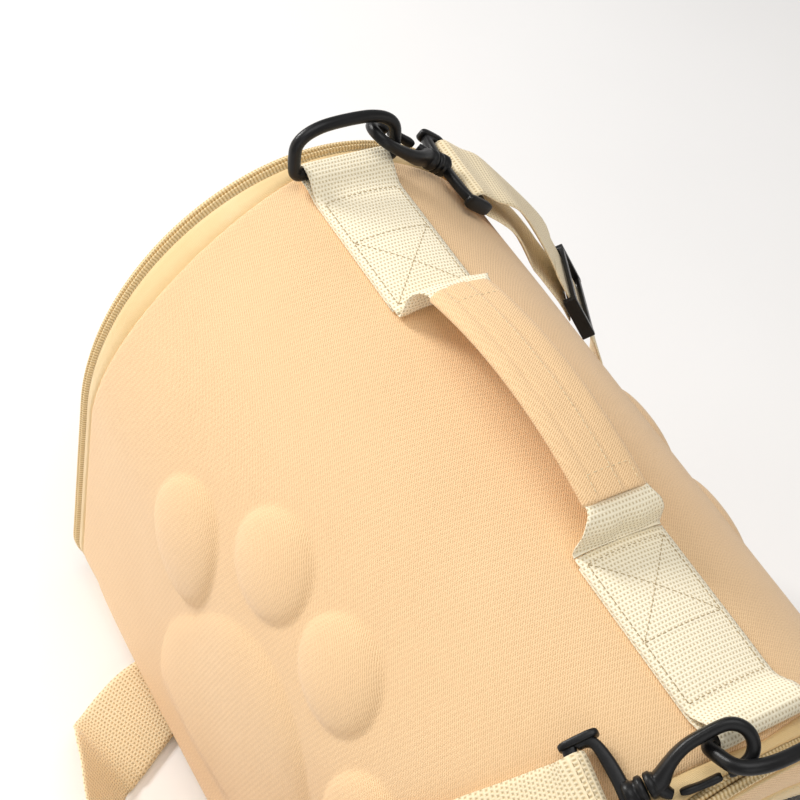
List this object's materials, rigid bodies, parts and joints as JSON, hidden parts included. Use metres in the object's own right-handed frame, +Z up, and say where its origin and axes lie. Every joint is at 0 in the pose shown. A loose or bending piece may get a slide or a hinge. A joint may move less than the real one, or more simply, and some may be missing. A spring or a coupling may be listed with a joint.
{
  "type": "pet carrier bag",
  "caption": "Arched hard-shell pet carrier bag with zipped end doors, a webbing carry grip and a clip-on adjustable shoulder strap.",
  "frame": {"origin": "underside of the middle foot of the base, on the floor, at the middle of the carrier", "axes": "+X along the tunnel towards the end whose door is called near, +Z up, -Y the side where the strap comes down in front"},
  "size_m": [0.4223, 0.4006, 0.3528],
  "materials": {
    "shell_fabric": "fine twill laminated on moulded foam",
    "gusset_satin": "smooth satin-weave nylon",
    "zip_tape": "coil zip with woven tape",
    "mesh": "open knitted mesh",
    "zip_metal": "lacquered",
    "webbing": "ribbed webbing",
    "strap_webbing": "ribbed webbing",
    "black_plastic": "satin moulded",
    "lining_fabric": "plain lining",
    "base_fabric": "twill on moulded foam",
    "board": "plain board",
    "mat_plush": "short plush"
  },
  "bodies": {
    "carrier": {"moulded_shell": "shell_fabric", "lining": "lining_fabric", "base_panel": "base_fabric", "base_board": "board", "mat": "mat_plush", "gusset_far": "gusset_satin", "gusset_near": "gusset_satin", "body_zip_half_far": "zip_tape", "body_zip_half_near": "zip_tape", "door_hinge_strip_far": "gusset_satin", "door_hinge_strip_near": "gusset_satin", "ridge_webbing_far": "webbing", "ridge_webbing_near": "webbing", "grip_webbing_far": "webbing", "grip_webbing_near": "webbing", "shoulder_strap": "strap_webbing", "hook_frame_far": "black_plastic", "hook_frame_near": "black_plastic"},
    "door_far": {"door_zip_half_far": "zip_tape", "door_border_far": "shell_fabric", "door_mesh_far": "mesh"},
    "zip_slider_far": {"zip_slider_far": "zip_metal"},
    "zip_pull_far": {"zip_pull_far": "zip_metal"},
    "D_ring_far": {"D_ring_far": "black_plastic"},
    "hook_far": {"hook_body_far": "black_plastic"},
    "gate_far": {"hook_gate_far": "black_plastic"},
    "door_near": {"door_zip_half_near": "zip_tape", "door_border_near": "shell_fabric", "door_mesh_near": "mesh"},
    "zip_slider_near": {"zip_slider_near": "zip_metal"},
    "zip_pull_near": {"zip_pull_near": "zip_metal"},
    "D_ring_near": {"D_ring_near": "black_plastic"},
    "hook_near": {"hook_body_near": "black_plastic"},
    "gate_near": {"hook_gate_near": "black_plastic"},
    "grip": {"grip_sleeve": "shell_fabric", "grip_core": "webbing"},
    "strap_slide": {"strap_slide": "black_plastic"}
  },
  "joints": [
    {"name": "door_far_hinge", "type": "hinge", "parent": "carrier", "child": "door_far", "pos_m": [-0.2015, 0, 0.013], "axis": [0, -1, 0], "range_deg": [0, 86]},
    {"name": "zip_far_run", "type": "slide", "parent": "door_far", "child": "zip_slider_far", "axis": [0, 0, 1], "range_m": [0, 0.08]},
    {"name": "zip_pull_far_swing", "type": "hinge", "parent": "zip_slider_far", "child": "zip_pull_far", "pos_m": [-0.202, 0.1335, 0.0615], "axis": [1, 0, 0], "range_deg": [0, 150]},
    {"name": "door_near_hinge", "type": "hinge", "parent": "carrier", "child": "door_near", "pos_m": [0.2015, 0, 0.013], "axis": [0, 1, 0], "range_deg": [0, 86]},
    {"name": "zip_near_run", "type": "slide", "parent": "door_near", "child": "zip_slider_near", "axis": [0, 0, 1], "range_m": [0, 0.08]},
    {"name": "zip_pull_near_swing", "type": "hinge", "parent": "zip_slider_near", "child": "zip_pull_near", "pos_m": [0.202, 0.1335, 0.0615], "axis": [1, 0, 0], "range_deg": [0, 150]},
    {"name": "D_ring_far_swing", "type": "hinge", "parent": "carrier", "child": "D_ring_far", "pos_m": [-0.182, 0, 0.3235], "axis": [0, 1, 0], "range_deg": [-8, 8]},
    {"name": "hook_far_swivel", "type": "hinge", "parent": "carrier", "child": "hook_far", "pos_m": [-0.1772, 0.0747, 0.3004], "axis": [-0.1158, -0.8213, 0.5586], "range_deg": [-8, 8]},
    {"name": "gate_far_press", "type": "hinge", "parent": "hook_far", "child": "gate_far", "pos_m": [-0.1892, 0.04736, 0.31894], "axis": [-0.0053, 0.5629, 0.8265], "range_deg": [0, 12], "stiffness_Nm_per_rad": 0.08, "springref_deg": -2.86},
    {"name": "D_ring_near_swing", "type": "hinge", "parent": "carrier", "child": "D_ring_near", "pos_m": [0.185, 0, 0.3235], "axis": [0, 1, 0], "range_deg": [-8, 3]},
    {"name": "hook_near_swivel", "type": "hinge", "parent": "carrier", "child": "hook_near", "pos_m": [0.182, -0.0765, 0.2995], "axis": [0.1695, 0.8475, 0.503], "range_deg": [-8, 6]},
    {"name": "gate_near_press", "type": "hinge", "parent": "hook_near", "child": "gate_near", "pos_m": [0.19464, -0.04639, 0.31251], "axis": [0.5083, -0.5125, 0.6921], "range_deg": [0, 12], "stiffness_Nm_per_rad": 0.08, "springref_deg": -2.86},
    {"name": "grip_lift", "type": "slide", "parent": "carrier", "child": "grip", "axis": [0, 0, 1], "range_m": [-0.01, 0.01], "deforming": ["grip_webbing_far", "grip_webbing_near"]},
    {"name": "strap_slide_run", "type": "slide", "parent": "carrier", "child": "strap_slide", "axis": [0.4194, 0.4493, -0.7888], "range_m": [-0.01, 0.005]}
  ]
}
